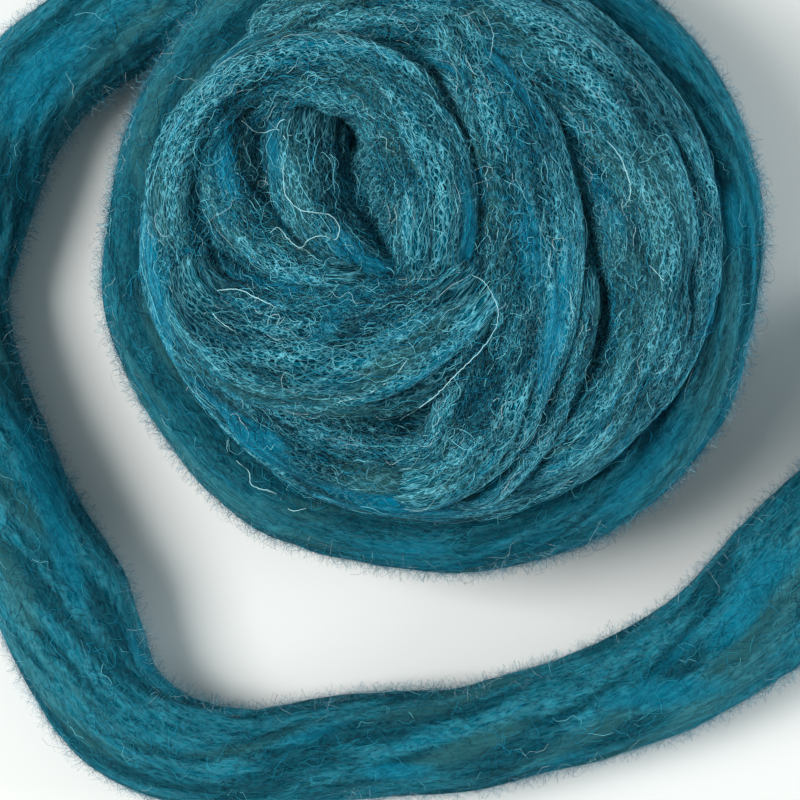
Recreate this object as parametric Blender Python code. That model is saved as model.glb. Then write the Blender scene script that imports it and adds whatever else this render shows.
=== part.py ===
"""A wound ball of wool roving, with its loose end lying round it. Metres, +Z up.

The origin is under the middle of the ball, on the surface that it rests on. The ball is one solid
of its wound form: the core, the flat rings of its lower half and the turns that lie over its top.
Its last turn leaves it at the back and ends in a flat face, where the loose end goes on.
"""

import math
import random
from collections import namedtuple

import bmesh
import bpy
from mathutils import Vector

MM = 0.001

# The ball, in millimetres. The middles of its turns lie on a dome, half a roving under its surface,
# and a core inside it closes what lies between them.
DOME_MIDDLE = 44.0
DOME_RADIUS = 54.0
DOME_RISE = 22.0
CORE_MIDDLE = 34.0
CORE_RADIUS = 52.0
CORE_RISE = 33.0
CORE_DROP = 38.0

# How a turn's ends tuck in among its neighbours: over what share of its length, how deep, and how
# much narrower they are there. Each turn is skinned by even sections and swells a little.
TUCK_SHARE = 0.16
TUCK_DEPTH = 9.0
TUCK_WIDTH = 0.55
TURN_STEPS = 44
SECTION_SIDES = 20
UNEVEN = 0.05
WAVES_A_TURN = 5

# The finished skin: how fine it is made, how often it is eased, and the share of its facets that
# its gentle parts keep afterwards.
SURFACE_STEP = 2.2
SMOOTHINGS = 3
FACETS_KEPT = 0.38
FLAT_SPOT_SNAP = 0.35

# Each turn over the top is an arc of an ellipse seen from above: its middle and radii, the angles
# where it starts and ends, its half width at both ends, how much wider it is between them, its
# half thickness, and how far it is lifted off the dome. Millimetres and degrees.
Turn = namedtuple("Turn", "name x y radius_x radius_y start end wide_in wide_out bulge thick lift")
TURNS = (
    Turn("inner loop", -22.8, 2.0, 23.4, 26.5, -40, 208, 8.4, 4.5, 1.0, 8.0, 4.5),
    Turn("lower petal", -17.0, -3.0, 26.5, 18.6, 184, 348, 5.0, 6.5, 7.5, 8.5, 3.5),
    Turn("middle band", -7.5, -4.5, 25.6, 39.0, -104, 84, 7.5, 6.0, 0.5, 8.0, 3.5),
    Turn("left band", 0.0, -1.0, 46.8, 43.0, 112, 286, 4.5, 9.0, 0.5, 8.0, 1.5),
    Turn("side band", -14.0, -4.5, 52.5, 46.0, -66, 118, 6.5, 7.5, 3.0, 9.0, 2.0),
    Turn("back band", -4.0, -2.0, 36.0, 42.0, 50, 150, 7.0, 6.0, 2.0, 8.0, 0.0),
    Turn("outer fold", -17.0, 15.5, 22.0, 24.6, 155, 288, 5.2, 4.2, 0.6, 6.5, 2.0),
    Turn("inner fold", -9.0, 15.0, 14.5, 22.5, 152, 277, 8.0, 5.0, 0.5, 6.5, 0.5),
)

# Each ring of the lower half runs all the way round: its radius, its height, and its half sizes
# across and up. Millimetres.
Ring = namedtuple("Ring", "name radius height across up")
RINGS = (
    Ring("under ring", 38.0, 13.5, 13.5, 12.5),
    Ring("shoulder ring", 42.5, 41.5, 11.5, 12.0),
)

# The last turn goes round the ball at its widest, from where it starts under the side band to
# where it lets go at the back, and then out to the flat face where the loose end begins.
LAST_TURN = Ring("last turn", 57.0, 22.5, 9.2, 13.0)
LETS_GO_ANGLE = 72.0
LEAD_OUT = 30.0

# That face stands this far short of the loose end. The turn is made a little too long, narrowed,
# and trimmed square by a block set to the side, clear of the ball.
FACE_GAP = 0.3
FACE_LIFT = 0.6
FACE_TRIM = 8.0
TRIM_NARROW = 0.86
FACE_CUT_WIDTH = 34.0
FACE_CUT_ASIDE = 4.6

# The loose end's route, seen from above: where its middle runs, and its half width there.
# It lies on the surface all the way. Millimetres.
TAIL_ROUTE = (
    (-66.6, 45.1, 11.6),
    (-72.1, 41.5, 11.6),
    (-80.1, 35.1, 11.6),
    (-87.0, 25.4, 11.2),
    (-91.2, 15.5, 11.0),
    (-95.0, 4.5, 11.2),
    (-97.2, -8.0, 11.4),
    (-96.8, -21.0, 12.0),
    (-93.6, -34.0, 12.5),
    (-88.2, -46.0, 12.8),
    (-82.8, -57.5, 12.9),
    (-77.3, -69.5, 12.8),
    (-71.8, -81.5, 12.4),
    (-65.0, -93.0, 11.8),
    (-53.5, -102.0, 11.0),
    (-38.5, -105.0, 10.4),
    (-22.5, -102.8, 10.6),
    (-7.1, -101.0, 10.4),
    (6.5, -100.2, 10.2),
    (20.0, -96.8, 10.4),
    (34.0, -93.0, 10.6),
    (46.0, -87.8, 11.4),
    (56.5, -80.6, 12.8),
    (66.5, -72.4, 13.8),
    (76.2, -63.2, 14.4),
    (84.6, -53.4, 13.8),
    (91.0, -42.0, 12.0),
    (95.2, -29.5, 9.0),
    (97.2, -17.0, 5.6),
    (97.4, -6.5, 2.0),
)
TAIL_STEPS = 60
TAIL_NOMINAL = 12.0

COLOUR = (0.022, 0.130, 0.175, 1.0)
TAIL_COLOUR = (0.018, 0.110, 0.160, 1.0)
ROUGHNESS = 0.95


def clear_scene():
    for thing in list(bpy.data.objects):
        bpy.data.objects.remove(thing, do_unlink=True)


def wool(name, colour):
    """The roving's plain material."""
    material = bpy.data.materials.new(name)
    material.use_nodes = True
    shader = material.node_tree.nodes["Principled BSDF"]
    shader.inputs["Base Color"].default_value = colour
    shader.inputs["Roughness"].default_value = ROUGHNESS
    shader.inputs["Metallic"].default_value = 0.0
    return material


def ease(share):
    """A smooth rise from 0 to 1."""
    share = min(max(share, 0.0), 1.0)
    return share * share * (3.0 - 2.0 * share)


def dome_height(x, y):
    reach = min(math.hypot(x, y) / DOME_RADIUS, 0.98)
    return DOME_MIDDLE + DOME_RISE * math.sqrt(1.0 - reach * reach)


def dome_normal(point):
    return Vector(
        (
            point.x / DOME_RADIUS ** 2,
            point.y / DOME_RADIUS ** 2,
            (point.z - DOME_MIDDLE) / DOME_RISE ** 2,
        )
    ).normalized()


def uneven(count, seed):
    """Gentle swellings along a turn, as hand-wound roving has them."""
    draw = random.Random(seed)
    phases = [draw.uniform(0.0, math.tau) for _ in range(2)]
    return [
        1.0 + UNEVEN * math.sin(WAVES_A_TURN * math.tau * step / count + phases[0])
        + 0.5 * UNEVEN * math.sin(2.3 * WAVES_A_TURN * math.tau * step / count + phases[1])
        for step in range(count)
    ]


def section(middle, across, up, half_across, half_up):
    """One oval section of a turn."""
    angles = [math.tau * side / SECTION_SIDES for side in range(SECTION_SIDES)]
    return [
        middle + across * (half_across * math.cos(angle)) + up * (half_up * math.sin(angle))
        for angle in angles
    ]


def add_tube(shape, sections, closed=False):
    """Skins a row of sections, and caps its ends unless it closes on itself."""
    rows = [[shape.verts.new(point * MM) for point in points] for points in sections]
    pairs = list(zip(rows, rows[1:]))
    if closed:
        pairs.append((rows[-1], rows[0]))
    for near, far in pairs:
        for side in range(SECTION_SIDES):
            after = (side + 1) % SECTION_SIDES
            shape.faces.new((near[side], near[after], far[after], far[side]))
    if not closed:
        shape.faces.new(list(reversed(rows[0])))
        shape.faces.new(rows[-1])


def turn_sections(turn, seed):
    """A turn over the top: it lies on the dome and tucks its ends in among its neighbours."""
    swell = uneven(TURN_STEPS, seed)
    path = []
    for step in range(TURN_STEPS):
        share = step / (TURN_STEPS - 1)
        angle = math.radians(turn.start + share * (turn.end - turn.start))
        x = turn.x + turn.radius_x * math.cos(angle)
        y = turn.y + turn.radius_y * math.sin(angle)
        to_end = ease(min(share, 1.0 - share) / TUCK_SHARE)
        point = Vector((x, y, dome_height(x, y)))
        point += dome_normal(point) * (turn.lift - TUCK_DEPTH * (1.0 - to_end))
        half_wide = turn.wide_in + share * (turn.wide_out - turn.wide_in)
        half_wide += turn.bulge * math.sin(math.pi * share)
        half_wide *= swell[step] * (TUCK_WIDTH + (1.0 - TUCK_WIDTH) * to_end)
        path.append((point, half_wide))
    return skin_path(path, turn.thick)


def skin_path(path, thick):
    sections = []
    for step, (point, half_wide) in enumerate(path):
        before = path[max(step - 1, 0)][0]
        after = path[min(step + 1, len(path) - 1)][0]
        along = (after - before).normalized()
        up = dome_normal(point)
        across = up.cross(along).normalized()
        up = along.cross(across)
        sections.append(section(point, across, up, half_wide, thick))
    return sections


def ring_sections(ring, seed):
    """A turn that runs all the way round, level."""
    swell = uneven(TURN_STEPS, seed)
    sections = []
    for step in range(TURN_STEPS):
        angle = math.tau * step / TURN_STEPS
        outward = Vector((math.cos(angle), math.sin(angle), 0.0))
        middle = outward * ring.radius + Vector((0.0, 0.0, ring.height))
        sections.append(section(middle, -outward, Vector((0.0, 0.0, 1.0)), ring.across * swell[step], ring.up))
    return sections


def bend(start, pull_start, pull_end, end, share):
    """A point of the cubic curve through four points."""
    rest = 1.0 - share
    return (
        start * rest ** 3
        + pull_start * (3.0 * rest ** 2 * share)
        + pull_end * (3.0 * rest * share ** 2)
        + end * share ** 3
    )


def tail_start():
    """Where the loose end begins, and its level direction there."""
    x, y, half_wide = TAIL_ROUTE[0]
    ahead = Vector((TAIL_ROUTE[1][0] - x, TAIL_ROUTE[1][1] - y, 0.0)).normalized()
    return Vector((x, y, half_wide)), ahead


def last_turn_sections(seed):
    """Once round the ball at its widest, then out and down to the loose end's first point."""
    swell = uneven(TURN_STEPS, seed)
    turn = LAST_TURN
    path = []
    for step in range(TURN_STEPS):
        share = step / TURN_STEPS
        angle = math.radians(LETS_GO_ANGLE - 360.0 * (1.0 - share))
        middle = Vector((turn.radius * math.cos(angle), turn.radius * math.sin(angle), turn.height))
        path.append((middle, turn.across * swell[step], turn.up))
    angle = math.radians(LETS_GO_ANGLE)
    start = Vector((turn.radius * math.cos(angle), turn.radius * math.sin(angle), turn.height))
    heading = Vector((-math.sin(angle), math.cos(angle), 0.0))
    end, ahead = tail_start()
    half_wide = end.z
    for step in range(TURN_STEPS // 2):
        share = step / (TURN_STEPS // 2 - 1)
        middle = bend(start, start + heading * LEAD_OUT, end - ahead * LEAD_OUT, end, share)
        fade = ease(share)
        across = turn.across + (half_wide - turn.across) * fade
        up = turn.up + (half_wide - turn.up) * fade
        middle.z = max(middle.z, up) + FACE_LIFT * fade
        path.append((middle, across, up))
    tip = end + ahead * FACE_TRIM + Vector((0.0, 0.0, FACE_LIFT))
    path.append((tip, half_wide * TRIM_NARROW, half_wide * TRIM_NARROW))
    sections = []
    for step, (middle, across, up) in enumerate(path):
        along = path[min(step + 1, len(path) - 1)][0] - path[max(step - 1, 0)][0]
        along.z = 0.0
        aside = Vector((0.0, 0.0, 1.0)).cross(along.normalized())
        sections.append(section(middle, aside, Vector((0.0, 0.0, 1.0)), across, up))
    return sections


def add_core(shape):
    """The packed inside, which closes every gap between the turns."""
    made = bmesh.ops.create_uvsphere(shape, u_segments=48, v_segments=32, radius=1.0)
    for vert in made["verts"]:
        rise = CORE_RISE if vert.co.z > 0.0 else CORE_DROP
        vert.co.x *= CORE_RADIUS * MM
        vert.co.y *= CORE_RADIUS * MM
        vert.co.z = (CORE_MIDDLE + vert.co.z * rise) * MM


def apply_modifiers(thing):
    """Replaces the object's mesh by what its modifiers make of it."""
    graph = bpy.context.evaluated_depsgraph_get()
    mesh = bpy.data.meshes.new_from_object(thing.evaluated_get(graph))
    thing.modifiers.clear()
    thing.data = mesh


def add_object(name, shape, material):
    mesh = bpy.data.meshes.new(name)
    shape.to_mesh(mesh)
    shape.free()
    mesh.materials.append(material)
    thing = bpy.data.objects.new(name, mesh)
    bpy.context.scene.collection.objects.link(thing)
    return thing


def face_cutter():
    """Trims the last turn square, just short of the loose end's first point."""
    end, ahead = tail_start()
    shape = bmesh.new()
    bmesh.ops.create_cube(shape, size=1.0)
    cutter = add_object("face_cutter", shape, wool("cutter", COLOUR))
    length = 2.0 * FACE_TRIM + 4.0
    aside = Vector((ahead.y, -ahead.x, 0.0))
    for vert in cutter.data.vertices:
        vert.co = Vector((vert.co.x * length, vert.co.y * FACE_CUT_WIDTH, vert.co.z * 3.0 * end.z)) * MM
    cutter.location = (end + ahead * (0.5 * length - FACE_GAP) + aside * FACE_CUT_ASIDE) * MM
    cutter.rotation_euler.z = math.atan2(ahead.y, ahead.x)
    cutter.hide_render = True
    cutter.display_type = "WIRE"
    return cutter


def ease_skin(thing):
    """Eases the skin, and makes its facets larger where it is gentle."""
    shape = bmesh.new()
    shape.from_mesh(thing.data)
    for _ in range(SMOOTHINGS):
        bmesh.ops.smooth_vert(
            shape, verts=shape.verts, factor=0.5, use_axis_x=True, use_axis_y=True, use_axis_z=True
        )
    shape.to_mesh(thing.data)
    shape.free()
    thin = thing.modifiers.new("thin", "DECIMATE")
    thin.ratio = FACETS_KEPT
    apply_modifiers(thing)


def level_underside(thing):
    """Cuts the underside level where the ball rests."""
    shape = bmesh.new()
    shape.from_mesh(thing.data)
    near = FLAT_SPOT_SNAP * MM
    for vert in shape.verts:
        if abs(vert.co.z) < near:
            vert.co.z = 0.0
    everything = list(shape.verts) + list(shape.edges) + list(shape.faces)
    bmesh.ops.bisect_plane(
        shape, geom=everything, dist=1e-7, plane_co=(0, 0, 0), plane_no=(0, 0, -1), clear_outer=True
    )
    rim = [edge for edge in shape.edges if edge.is_boundary]
    bmesh.ops.contextual_create(shape, geom=rim)
    shape.to_mesh(thing.data)
    shape.free()


def make_ball(material):
    shape = bmesh.new()
    add_core(shape)
    for seed, ring in enumerate(RINGS, 1):
        add_tube(shape, ring_sections(ring, seed), closed=True)
    for seed, turn in enumerate(TURNS, 11):
        add_tube(shape, turn_sections(turn, seed))
    add_tube(shape, last_turn_sections(31))
    ball = add_object("ball", shape, material)
    skin = ball.modifiers.new("skin", "REMESH")
    skin.mode = "VOXEL"
    skin.voxel_size = SURFACE_STEP * MM
    apply_modifiers(ball)
    ease_skin(ball)
    level_underside(ball)
    trim = ball.modifiers.new("trim", "BOOLEAN")
    trim.object = face_cutter()
    trim.operation = "DIFFERENCE"
    trim.solver = "EXACT"
    return ball


def smooth_points(route, count):
    """Reads evenly spaced points from the smooth curve through the route's own points."""
    dense = []
    for step in range(len(route) - 1):
        around = [Vector(route[min(max(step + shift, 0), len(route) - 1)]) for shift in (-1, 0, 1, 2)]
        for part in range(12):
            share = part / 12
            pull = 0.5 * (around[2] - around[0])
            push = 0.5 * (around[3] - around[1])
            dense.append(bend(around[1], around[1] + pull / 3.0, around[2] - push / 3.0, around[2], share))
    dense.append(Vector(route[-1]))
    run = [0.0]
    for near, far in zip(dense, dense[1:]):
        run.append(run[-1] + (far.xy - near.xy).length)
    points = []
    place = 0
    for step in range(count):
        goal = run[-1] * step / (count - 1)
        while place < len(run) - 2 and run[place + 1] < goal:
            place += 1
        share = (goal - run[place]) / (run[place + 1] - run[place])
        points.append(dense[place].lerp(dense[place + 1], min(share, 1.0)))
    return points


def make_tail(material):
    """The loose end: a limp tube of changing width that lies on the surface."""
    curve = bpy.data.curves.new("tail", "CURVE")
    curve.dimensions = "3D"
    curve.bevel_depth = TAIL_NOMINAL * MM
    curve.bevel_resolution = 4
    curve.use_fill_caps = True
    spline = curve.splines.new("POLY")
    points = smooth_points(TAIL_ROUTE, TAIL_STEPS)
    spline.points.add(len(points) - 1)
    for knot, (x, y, half_wide) in zip(spline.points, points):
        knot.co = (x * MM, y * MM, half_wide * MM, 1.0)
        knot.radius = half_wide / TAIL_NOMINAL
    spline.use_smooth = True
    curve.materials.append(material)
    tail = bpy.data.objects.new("tail", curve)
    bpy.context.scene.collection.objects.link(tail)
    return tail


def main():
    clear_scene()
    make_ball(wool("roving", COLOUR))
    make_tail(wool("loose roving", TAIL_COLOUR))


main()
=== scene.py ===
"""The looks of a wound ball of wool roving and its loose end. Metres, +Z up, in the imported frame.

Every turn of the ball is a lumpy strand of its own, grooved lengthwise by its locks of wool. Many
thousand fibres follow the turn that they belong to or drift over the ball's top, and fuzz stands
off them. The loose end is the last turn's strand going on, so its skin runs through the joint.
"""

import math
from collections import namedtuple

import bpy
import numpy as np
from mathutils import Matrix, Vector


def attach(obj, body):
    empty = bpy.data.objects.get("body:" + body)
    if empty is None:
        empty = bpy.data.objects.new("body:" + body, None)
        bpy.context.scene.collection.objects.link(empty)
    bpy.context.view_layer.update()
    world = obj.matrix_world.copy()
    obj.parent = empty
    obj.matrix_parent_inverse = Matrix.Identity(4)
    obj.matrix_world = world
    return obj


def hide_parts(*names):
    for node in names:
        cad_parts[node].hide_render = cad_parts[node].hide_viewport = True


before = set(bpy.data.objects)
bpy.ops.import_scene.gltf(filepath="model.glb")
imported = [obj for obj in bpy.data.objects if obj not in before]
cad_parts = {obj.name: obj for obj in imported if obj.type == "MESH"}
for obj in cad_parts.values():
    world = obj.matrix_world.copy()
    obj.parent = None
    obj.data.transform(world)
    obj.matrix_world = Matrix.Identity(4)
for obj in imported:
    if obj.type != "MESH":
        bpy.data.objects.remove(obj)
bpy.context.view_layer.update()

MM = 0.001
UP = np.array((0.0, 0.0, 1.0))

# === Sizes, in millimetres ===

# The dome that the turns over the top lie on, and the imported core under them: the height of the
# middle of each, its radius, and how far it rises and drops from there.
DOME_MIDDLE, DOME_RADIUS, DOME_RISE = 44.0, 54.0, 22.0
CORE_MIDDLE, CORE_RADIUS, CORE_RISE, CORE_DROP = 34.0, 52.0, 33.0, 38.0

# A turn over the top sinks this deep over this share of it at each end, and narrows to this share of
# its width. Over a shorter share it thins as well.
TUCK_SHARE, TUCK_DEPTH, TUCK_WIDTH = 0.16, 9.0, 0.55
THIN_SHARE, THIN_TIP = 0.06, 0.35

# An arc of an ellipse seen from above: its middle and radii, the angles where it starts and ends,
# its half width at both ends, how much wider it is between them, its half thickness and its lift.
Turn = namedtuple("Turn", "name x y radius_x radius_y start end wide_in wide_out bulge thick lift")
TURNS = (
    Turn("inner_loop", -22.8, 2.0, 23.4, 26.5, -40, 208, 8.4, 4.5, 1.0, 8.0, 4.5),
    Turn("lower_petal", -17.0, -3.0, 26.5, 18.6, 184, 348, 5.0, 6.5, 7.5, 8.5, 3.5),
    Turn("middle_band", -7.5, -4.5, 25.6, 39.0, -104, 84, 7.5, 6.0, 0.5, 8.0, 3.5),
    Turn("left_band", 0.0, -1.0, 46.8, 43.0, 112, 286, 4.5, 9.0, 0.5, 8.0, 1.5),
    Turn("side_band", -14.0, -4.5, 52.5, 46.0, -66, 118, 6.5, 7.5, 3.0, 9.0, 2.0),
    Turn("back_band", -4.0, -2.0, 36.0, 42.0, 50, 150, 7.0, 6.0, 2.0, 8.0, 0.0),
    Turn("outer_fold", -17.0, 15.5, 22.0, 24.6, 155, 288, 5.2, 4.2, 0.6, 6.5, 2.0),
    Turn("inner_fold", -9.0, 15.0, 14.5, 22.5, 152, 277, 8.0, 5.0, 0.5, 6.5, 0.5),
)

# Slimmer turns that lie on the others, too fine for the solids.
SLIM_TURNS = (
    Turn("slim_middle", -14.5, 0.0, 25.4, 50.0, -66, 62, 5.2, 6.0, 0.6, 6.0, 4.5),
    Turn("slim_left", -3.0, 2.0, 45.6, 43.0, 152, 244, 2.2, 2.4, 0.6, 5.0, 4.0),
    Turn("slim_crease", -7.5, -4.5, 34.6, 47.0, -72, 2, 2.6, 2.0, 0.6, 5.0, 4.2),
    Turn("slim_right", 0.0, -2.0, 46.6, 45.0, -58, 34, 2.6, 2.6, 1.0, 5.0, 4.5),
)

Ring = namedtuple("Ring", "name radius height across up")
RINGS = (Ring("under_ring", 38.0, 13.5, 13.5, 12.5), Ring("shoulder_ring", 42.5, 41.5, 11.5, 12.0))
LAST_TURN = Ring("last_turn", 57.0, 22.5, 9.2, 13.0)
LETS_GO_ANGLE = 72.0
LEAD_OUT = 30.0

# How many degrees the rings and the last turn run, up to the angle where it lets go. It starts this
# far in from its radius and this slim, and is at its full size after this share of it.
RING_SWEEP, LAST_SWEEP = 362.0, 352.0
START_DRAWN_IN, START_SLIM, START_SHARE = 7.0, 0.6, 0.125
TURN_POINTS, RING_POINTS, LEAD_POINTS, ROUTE_POINTS = 240, 400, 80, 12

# The loose end's route, seen from above: where its middle runs, and its half width there.
TAIL_ROUTE = (
    (-66.6, 45.1, 11.6), (-72.1, 41.5, 11.6), (-80.1, 35.1, 11.6), (-87.0, 25.4, 11.2),
    (-91.2, 15.5, 11.0), (-95.0, 4.5, 11.2), (-97.2, -8.0, 11.4), (-96.8, -21.0, 12.0),
    (-93.6, -34.0, 12.5), (-88.2, -46.0, 12.8), (-82.8, -57.5, 12.9), (-77.3, -69.5, 12.8),
    (-71.8, -81.5, 12.4), (-65.0, -93.0, 11.8), (-53.5, -102.0, 11.0), (-38.5, -105.0, 10.4),
    (-22.5, -102.8, 10.6), (-7.1, -101.0, 10.4), (6.5, -100.2, 10.2), (20.0, -96.8, 10.4),
    (34.0, -93.0, 10.6), (46.0, -87.8, 11.4), (56.5, -80.6, 12.8), (66.5, -72.4, 13.8),
    (76.2, -63.2, 14.4), (84.6, -53.4, 13.8), (91.0, -42.0, 12.0), (95.2, -29.5, 9.0),
    (97.2, -17.0, 5.6), (97.4, -6.5, 2.0),
)
SKIN_STEP = 1.5
FLOOR_CLEAR = 0.15

# === The camera stands straight over the loose end's bend ===

EYE = (-7.1, -31.3, 645.0)
LENS, SENSOR = 140.0, 36.0


def add_camera():
    data = bpy.data.cameras.new("camera")
    data.lens = LENS
    data.sensor_width = SENSOR
    camera = bpy.data.objects.new("camera", data)
    camera.location = Vector(EYE) * MM
    bpy.context.scene.collection.objects.link(camera)
    bpy.context.scene.camera = camera


# === Small maths ===


def ease(share):
    share = np.clip(share, 0.0, 1.0)
    return share * share * (3.0 - 2.0 * share)


def between(start, end, share):
    return start + (end - start) * share


def unit(vectors):
    return vectors / np.maximum(np.linalg.norm(vectors, axis=-1, keepdims=True), 1e-9)


def slopes(points):
    return unit(np.gradient(points, axis=0))


def run_of(points):
    steps = np.linalg.norm(np.diff(points, axis=0), axis=1)
    return np.concatenate(((0.0,), np.cumsum(steps)))


def even(points, step, *columns):
    """The line again with even steps, and each column read at the new points."""
    run = run_of(points)
    count = max(int(round(run[-1] / step)) + 1, 8)
    at = np.linspace(0.0, run[-1], count)
    line = np.stack([np.interp(at, run, points[:, axis]) for axis in range(3)], axis=1)
    return line, [np.interp(at, run, column) for column in columns]


def dome_height(x, y):
    reach = np.minimum(np.hypot(x, y) / DOME_RADIUS, 0.98)
    return DOME_MIDDLE + DOME_RISE * np.sqrt(1.0 - reach * reach)


def dome_normals(points):
    flat = points[:, :2] / DOME_RADIUS ** 2
    high = (points[:, 2:] - DOME_MIDDLE) / DOME_RISE ** 2
    return unit(np.concatenate((flat, high), axis=1))


def bend(start, pull_start, pull_end, end, share):
    """Points of the cubic curve through four points."""
    share = np.asarray(share).reshape(-1, 1)
    rest = 1.0 - share
    return (
        start * rest ** 3
        + 3.0 * pull_start * rest ** 2 * share
        + 3.0 * pull_end * rest * share ** 2
        + end * share ** 3
    )


def read_grid(grid, row, column, blend=lambda part: part):
    """Reads a grid of values between its points; the columns run round and meet."""
    rows, columns = grid.shape[:2]
    row = np.clip(row, 0.0, rows - 1.001)
    low_row, low_column = np.floor(row).astype(int), np.floor(column).astype(int)
    part_row, part_column = blend(row - low_row)[..., None], blend(column - low_column)[..., None]
    left, right = low_column % columns, (low_column + 1) % columns
    near = grid[low_row, left] * (1 - part_column) + grid[low_row, right] * part_column
    far = grid[low_row + 1, left] * (1 - part_column) + grid[low_row + 1, right] * part_column
    return near * (1 - part_row) + far * part_row


def smooth_noise(draw, rows, columns, row, column):
    """Soft random hills, this many both ways, read at places from 0 to 1."""
    rows, columns = max(int(rows), 2) + 2, max(int(columns), 2)
    hills = draw.random((rows, columns, 1))
    row = np.clip(row, 0.0, 1.0) * (rows - 1.001)
    return read_grid(hills, row, np.mod(column, 1.0) * columns, ease)[..., 0]


# === Strands ===

# A strand is its middle line with the directions and half sizes of its section at each point. A skin is
# grids of places, normals and wool, which is how far it is bright, brown and dark. Its dark is partly
# dark wool and partly painted shade.
Strand = namedtuple("Strand", "name middle across up half_across half_up")
Skin = namedtuple("Skin", "name places normals wool length round_size")
BRIGHT, BROWN, DARK = 0, 1, 2


def turn_strand(turn):
    """A turn over the top, which tucks its ends in among its neighbours."""
    share = np.linspace(0.0, 1.0, TURN_POINTS)
    angle = np.radians(between(turn.start, turn.end, share))
    x = turn.x + turn.radius_x * np.cos(angle)
    y = turn.y + turn.radius_y * np.sin(angle)
    from_end = np.minimum(share, 1.0 - share)
    to_end = ease(from_end / TUCK_SHARE)
    line = np.stack((x, y, dome_height(x, y)), axis=1)
    line += dome_normals(line) * (turn.lift - TUCK_DEPTH * (1.0 - to_end))[:, None]
    half_wide = between(turn.wide_in, turn.wide_out, share) + turn.bulge * np.sin(math.pi * share)
    half_wide = half_wide * between(TUCK_WIDTH, 1.0, to_end)
    half_up = turn.thick * between(THIN_TIP, 1.0, ease(from_end / THIN_SHARE))
    line, (half_wide, half_up) = even(line, SKIN_STEP, half_wide, half_up)
    along = slopes(line)
    across = unit(np.cross(dome_normals(line), along))
    return Strand(turn.name, line, across, np.cross(along, across), half_wide, half_up)


def ring_strand(ring):
    """A turn that runs all the way round, level. Its ends meet inside the leaving turn."""
    angle = np.radians(np.linspace(LETS_GO_ANGLE - RING_SWEEP, LETS_GO_ANGLE, RING_POINTS))
    outward = np.stack((np.cos(angle), np.sin(angle), np.zeros_like(angle)), axis=1)
    line = outward * ring.radius + UP * ring.height
    line, (x, y) = even(line, SKIN_STEP, outward[:, 0], outward[:, 1])
    outward = unit(np.stack((x, y, np.zeros_like(x)), axis=1))
    full = np.ones(len(line))
    tall = np.broadcast_to(UP, line.shape)
    return Strand(ring.name, line, -outward, tall, full * ring.across, full * ring.up)


def smooth_route(route):
    """A smooth curve through a route's points."""
    padded = np.vstack((route[0], route, route[-1]))
    pieces = []
    for step in range(len(route) - 1):
        before, here, there, after = padded[step : step + 4]
        pull, push = (there - before) / 6.0, (after - here) / 6.0
        share = np.arange(ROUTE_POINTS) / ROUTE_POINTS
        pieces.append(bend(here, here + pull, there - push, there, share))
    return np.vstack(pieces + [route[-1:]])


def last_strand():
    """Once round the ball at its widest, off it at the back, and on to the loose end's tip.

    The loose end's half widths are its heights too, because it lies on the surface all the way.
    """
    turn = LAST_TURN
    angle = np.radians(np.linspace(LETS_GO_ANGLE - LAST_SWEEP, LETS_GO_ANGLE, RING_POINTS))[:-1]
    started = ease(np.linspace(0.0, 1.0 / START_SHARE, len(angle)))
    radius = turn.radius - START_DRAWN_IN * (1.0 - started)
    height = np.full(len(angle), turn.height)
    ring = np.stack((radius * np.cos(angle), radius * np.sin(angle), height), axis=1)
    leaves = math.radians(LETS_GO_ANGLE)
    start = np.array((turn.radius * math.cos(leaves), turn.radius * math.sin(leaves), turn.height))
    heading = np.array((-math.sin(leaves), math.cos(leaves), 0.0))
    tail = smooth_route(np.array(TAIL_ROUTE))
    tail_half = tail[:, 2].copy()
    ahead = unit(tail[1] - tail[0])
    share = np.linspace(0.0, 1.0, LEAD_POINTS)[:-1]
    lead = bend(start, start + heading * LEAD_OUT, tail[0] - ahead * LEAD_OUT, tail[0], share)
    lead_up = between(turn.up, tail_half[0], ease(share))
    lead[:, 2] = np.maximum(lead[:, 2], lead_up)
    lead_across = between(turn.across, tail_half[0], ease(share))
    line = np.vstack((ring, lead, tail))
    narrow = between(START_SLIM, 1.0, started)
    half_across = np.concatenate((turn.across * narrow, lead_across, tail_half))
    half_up = np.concatenate((turn.up * narrow, lead_up, tail_half))
    marks = np.concatenate((np.zeros(len(ring) + len(lead)), np.ones(len(tail))))
    line, (half_across, half_up, marks) = even(line, SKIN_STEP, half_across, half_up, marks)
    along = slopes(line)
    along[:, 2] = 0.0
    aside = unit(np.cross(UP, unit(along)))
    joint = int(np.argmax(marks > 0.5))
    tall = np.broadcast_to(UP, line.shape)
    return Strand("last_turn", line, aside, tall, half_across, half_up), joint


# How a strand's skin departs from a plain oval: lumps, lengthwise grooves between its locks, tufts.
# Its grooves also get painted shade.
LUMP_LENGTH, LUMPS_ROUND, LUMP_HEIGHT = 22.0, 4, 1.2
LOCK_LENGTH, LOCK_WIDTH = 38.0, 4.2
GROOVE_DEPTH, GROOVE_SHARPNESS, GROOVE_SHADE = 1.5, 0.11, 0.8
RIB_LENGTH, RIB_WIDTH, RIB_HEIGHT = 34.0, 1.9, 0.8
TUFT_LENGTH, TUFT_WIDTH, TUFT_HEIGHT = 8.0, 1.6, 0.3
TWIST_A_MM = 0.0035
FULL_RELIEF_SIZE = 8.0
SIDE_STEP = 0.8
SQUARENESS = 0.85
SOFT_RELIEF = 0.35


def amounts(field, share, softness=0.2):
    """Where a field is at its highest: 1 in this share of it, fading to 0 outside."""
    high = np.quantile(field, 1.0 - share)
    low = high - softness * (field.max() - field.min())
    return ease((field - low) / max(high - low, 1e-6))


# The streaks of bright, brown and dark wool: how long and wide they are, and which part of the wool
# they take. Narrow streaks fray their sides.
HEATHER = ((26.0, 4.0, 0.025), (24.0, 6.0, 0.05), (17.0, 2.6, 0.20))
NARROW_LONG, NARROW_WIDE, NARROW_SHARE = 16.0, 1.5, 0.45


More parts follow.
